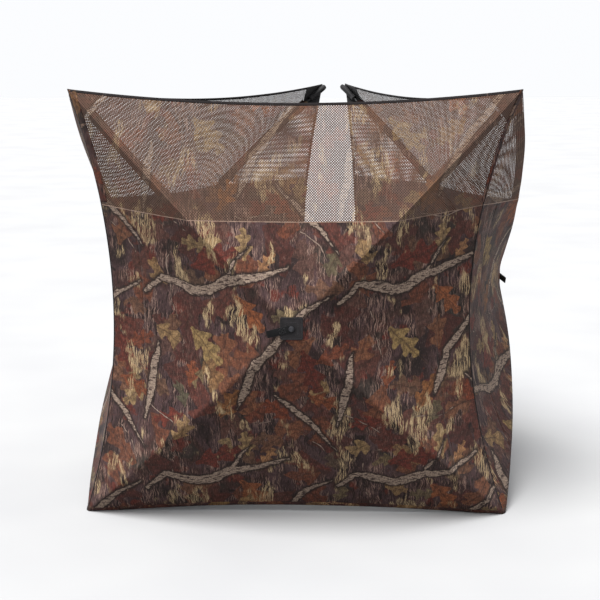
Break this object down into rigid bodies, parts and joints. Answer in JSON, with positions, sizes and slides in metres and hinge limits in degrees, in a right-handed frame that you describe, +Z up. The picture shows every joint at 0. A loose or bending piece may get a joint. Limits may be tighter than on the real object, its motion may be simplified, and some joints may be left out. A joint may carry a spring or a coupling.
{
  "type": "pop up ground blind",
  "caption": "Free-standing pop-up hunting screen: hub-tensioned camouflage walls with see-through netting above, open at the top, with a gap at the rear to step in.",
  "frame": {"origin": "on the ground, under the middle of the blind's box", "axes": "+Z up, +Y from the front wall towards the rear gap, +X to the right as seen from in front"},
  "size_m": [1.5896, 1.755, 1.484],
  "materials": {
    "camo_cloth": "woven polyester printed with a woodland pattern",
    "camo_netting": "open knitted netting printed with the same pattern",
    "sleeve_cloth": "woven polyester tape, printed",
    "corner_pocket": "heavy black coated cloth, stitched",
    "fibreglass": "black pultruded rod",
    "hub_plastic": "moulded nylon, fine grain",
    "steel": "blackened, worn bright",
    "webbing": "black polyester webbing"
  },
  "bodies": {
    "front_wall": {"front_cloth": "camo_cloth", "front_netting": "camo_netting", "front_lower_left_sleeve": "sleeve_cloth", "front_lower_right_sleeve": "sleeve_cloth", "front_upper_right_sleeve": "sleeve_cloth", "front_upper_left_sleeve": "sleeve_cloth", "front_left_upper_pocket": "corner_pocket", "front_left_lower_pocket": "corner_pocket", "front_right_upper_pocket": "corner_pocket", "front_right_lower_pocket": "corner_pocket"},
    "left_wall": {"left_cloth": "camo_cloth", "left_netting": "camo_netting", "left_lower_left_sleeve": "sleeve_cloth", "left_lower_right_sleeve": "sleeve_cloth", "left_upper_right_sleeve": "sleeve_cloth", "left_upper_left_sleeve": "sleeve_cloth", "rear_left_upper_pocket": "corner_pocket", "rear_left_lower_pocket": "corner_pocket"},
    "right_wall": {"right_cloth": "camo_cloth", "right_netting": "camo_netting", "right_lower_left_sleeve": "sleeve_cloth", "right_lower_right_sleeve": "sleeve_cloth", "right_upper_right_sleeve": "sleeve_cloth", "right_upper_left_sleeve": "sleeve_cloth", "rear_right_upper_pocket": "corner_pocket", "rear_right_lower_pocket": "corner_pocket"},
    "front_hub": {"front_hub_body": "hub_plastic", "front_pivot_ring": "steel", "front_hub_cap": "hub_plastic", "front_hub_bolt": "steel", "front_hub_patch": "webbing"},
    "front_strap": {"front_pull_strap": "webbing"},
    "front_lower_left_pole": {"front_lower_left_pole": "fibreglass"},
    "front_lower_right_pole": {"front_lower_right_pole": "fibreglass"},
    "front_upper_right_pole": {"front_upper_right_pole": "fibreglass"},
    "front_upper_left_pole": {"front_upper_left_pole": "fibreglass"},
    "left_hub": {"left_hub_body": "hub_plastic", "left_pivot_ring": "steel", "left_hub_cap": "hub_plastic", "left_hub_bolt": "steel", "left_hub_patch": "webbing"},
    "left_strap": {"left_pull_strap": "webbing"},
    "left_lower_left_pole": {"left_lower_left_pole": "fibreglass"},
    "left_lower_right_pole": {"left_lower_right_pole": "fibreglass"},
    "left_upper_right_pole": {"left_upper_right_pole": "fibreglass"},
    "left_upper_left_pole": {"left_upper_left_pole": "fibreglass"},
    "right_hub": {"right_hub_body": "hub_plastic", "right_pivot_ring": "steel", "right_hub_cap": "hub_plastic", "right_hub_bolt": "steel", "right_hub_patch": "webbing"},
    "right_strap": {"right_pull_strap": "webbing"},
    "right_lower_left_pole": {"right_lower_left_pole": "fibreglass"},
    "right_lower_right_pole": {"right_lower_right_pole": "fibreglass"},
    "right_upper_right_pole": {"right_upper_right_pole": "fibreglass"},
    "right_upper_left_pole": {"right_upper_left_pole": "fibreglass"}
  },
  "joints": [
    {"name": "left_wall_swing", "type": "hinge", "parent": "front_wall", "child": "left_wall", "pos_m": [-0.78404, -0.52275, 0], "axis": [0, 0, 1], "range_deg": [0, 90]},
    {"name": "right_wall_swing", "type": "hinge", "parent": "front_wall", "child": "right_wall", "pos_m": [0.71996, -0.52275, 0], "axis": [0, 0, -1], "range_deg": [0, 90]},
    {"name": "front_hub_pop", "type": "slide", "parent": "front_wall", "child": "front_hub", "axis": [0, 1, 0], "range_m": [0, 0.68], "deforming": ["front_cloth", "front_netting", "front_lower_left_sleeve", "front_lower_right_sleeve", "front_upper_right_sleeve", "front_upper_left_sleeve", "front_lower_left_pole", "front_lower_right_pole", "front_upper_right_pole", "front_upper_left_pole"]},
    {"name": "front_strap_swivel", "type": "hinge", "parent": "front_hub", "child": "front_strap", "pos_m": [-0.03204, -0.86775, 0.735], "axis": [0, -1, 0], "range_deg": [-104, 76]},
    {"name": "front_lower_left_pole_tip", "type": "hinge", "parent": "front_wall", "child": "front_lower_left_pole", "pos_m": [-0.75235, -0.50568, 0.009], "axis": [-0.7099, 0, 0.7043], "range_deg": [-1, 38.67]},
    {"name": "front_lower_right_pole_tip", "type": "hinge", "parent": "front_wall", "child": "front_lower_right_pole", "pos_m": [0.69008, -0.50267, 0.009], "axis": [-0.709, 0, -0.7052], "range_deg": [-1, 38.62]},
    {"name": "front_upper_right_pole_tip", "type": "hinge", "parent": "front_wall", "child": "front_upper_right_pole", "pos_m": [0.71, -0.51605, 1.469], "axis": [0.7032, 0, -0.7109], "range_deg": [-1, 37.95]},
    {"name": "front_upper_left_pole_tip", "type": "hinge", "parent": "front_wall", "child": "front_upper_left_pole", "pos_m": [-0.77348, -0.51706, 1.469], "axis": [0.7035, 0, 0.7107], "range_deg": [-1, 37.96]},
    {"name": "left_hub_pop", "type": "slide", "parent": "left_wall", "child": "left_hub", "axis": [0.8348, -0.5505, 0], "range_m": [0, 0.68], "deforming": ["left_cloth", "left_netting", "left_lower_left_sleeve", "left_lower_right_sleeve", "left_upper_right_sleeve", "left_upper_left_sleeve", "left_lower_left_pole", "left_lower_right_pole", "left_upper_right_pole", "left_upper_left_pole"]},
    {"name": "left_strap_swivel", "type": "hinge", "parent": "left_hub", "child": "left_strap", "pos_m": [-0.6581, 0.29497, 0.735], "axis": [-0.8348, 0.5505, 0], "range_deg": [-104, 76]},
    {"name": "left_lower_left_pole_tip", "type": "hinge", "parent": "left_wall", "child": "left_lower_left_pole", "pos_m": [0.04049, 0.70717, 0.009], "axis": [0.3885, 0.5892, 0.7084], "range_deg": [-1, 38.47]},
    {"name": "left_lower_right_pole_tip", "type": "hinge", "parent": "left_wall", "child": "left_lower_right_pole", "pos_m": [-0.75235, -0.50568, 0.009], "axis": [0.3908, 0.5926, -0.7043], "range_deg": [-1, 38.67]},
    {"name": "left_upper_right_pole_tip", "type": "hinge", "parent": "left_wall", "child": "left_upper_right_pole", "pos_m": [-0.77348, -0.51706, 1.469], "axis": [-0.3873, -0.5873, -0.7107], "range_deg": [-1, 37.96]},
    {"name": "left_upper_left_pole_tip", "type": "hinge", "parent": "left_wall", "child": "left_upper_left_pole", "pos_m": [0.0537, 0.72721, 1.469], "axis": [-0.3843, -0.5829, 0.7159], "range_deg": [-1, 37.69]},
    {"name": "right_hub_pop", "type": "slide", "parent": "right_wall", "child": "right_hub", "axis": [-0.9259, -0.3778, 0], "range_m": [0, 0.68], "deforming": ["right_cloth", "right_netting", "right_lower_left_sleeve", "right_lower_right_sleeve", "right_upper_right_sleeve", "right_upper_left_sleeve", "right_lower_left_pole", "right_lower_right_pole", "right_upper_right_pole", "right_upper_left_pole"]},
    {"name": "right_strap_swivel", "type": "hinge", "parent": "right_hub", "child": "right_strap", "pos_m": [0.75525, 0.30386, 0.735], "axis": [0.9259, 0.3778, 0], "range_deg": [-104, 76]},
    {"name": "right_lower_left_pole_tip", "type": "hinge", "parent": "right_wall", "child": "right_lower_left_pole", "pos_m": [0.69008, -0.50267, 0.009], "axis": [0.2679, -0.6564, 0.7052], "range_deg": [-1, 38.62]},
    {"name": "right_lower_right_pole_tip", "type": "hinge", "parent": "right_wall", "child": "right_lower_right_pole", "pos_m": [0.15002, 0.8439, 0.009], "axis": [0.2667, -0.6535, -0.7084], "range_deg": [-1, 38.47]},
    {"name": "right_upper_right_pole_tip", "type": "hinge", "parent": "right_wall", "child": "right_upper_right_pole", "pos_m": [0.14095, 0.86612, 1.469], "axis": [-0.2638, 0.6464, -0.7159], "range_deg": [-1, 37.69]},
    {"name": "right_upper_left_pole_tip", "type": "hinge", "parent": "right_wall", "child": "right_upper_left_pole", "pos_m": [0.71, -0.51605, 1.469], "axis": [-0.2657, 0.6511, 0.7109], "range_deg": [-1, 37.95]}
  ],
  "couplings": [
    {"joint": "front_lower_left_pole_tip", "follows": "front_hub_pop", "rad_per_m": 0.96688},
    {"joint": "front_lower_right_pole_tip", "follows": "front_hub_pop", "rad_per_m": 0.9657},
    {"joint": "front_upper_right_pole_tip", "follows": "front_hub_pop", "rad_per_m": 0.94827},
    {"joint": "front_upper_left_pole_tip", "follows": "front_hub_pop", "rad_per_m": 0.94863},
    {"joint": "left_lower_left_pole_tip", "follows": "left_hub_pop", "rad_per_m": 0.96159},
    {"joint": "left_lower_right_pole_tip", "follows": "left_hub_pop", "rad_per_m": 0.96688},
    {"joint": "left_upper_right_pole_tip", "follows": "left_hub_pop", "rad_per_m": 0.94863},
    {"joint": "left_upper_left_pole_tip", "follows": "left_hub_pop", "rad_per_m": 0.94174},
    {"joint": "right_lower_left_pole_tip", "follows": "right_hub_pop", "rad_per_m": 0.9657},
    {"joint": "right_lower_right_pole_tip", "follows": "right_hub_pop", "rad_per_m": 0.96159},
    {"joint": "right_upper_right_pole_tip", "follows": "right_hub_pop", "rad_per_m": 0.94174},
    {"joint": "right_upper_left_pole_tip", "follows": "right_hub_pop", "rad_per_m": 0.94827}
  ]
}
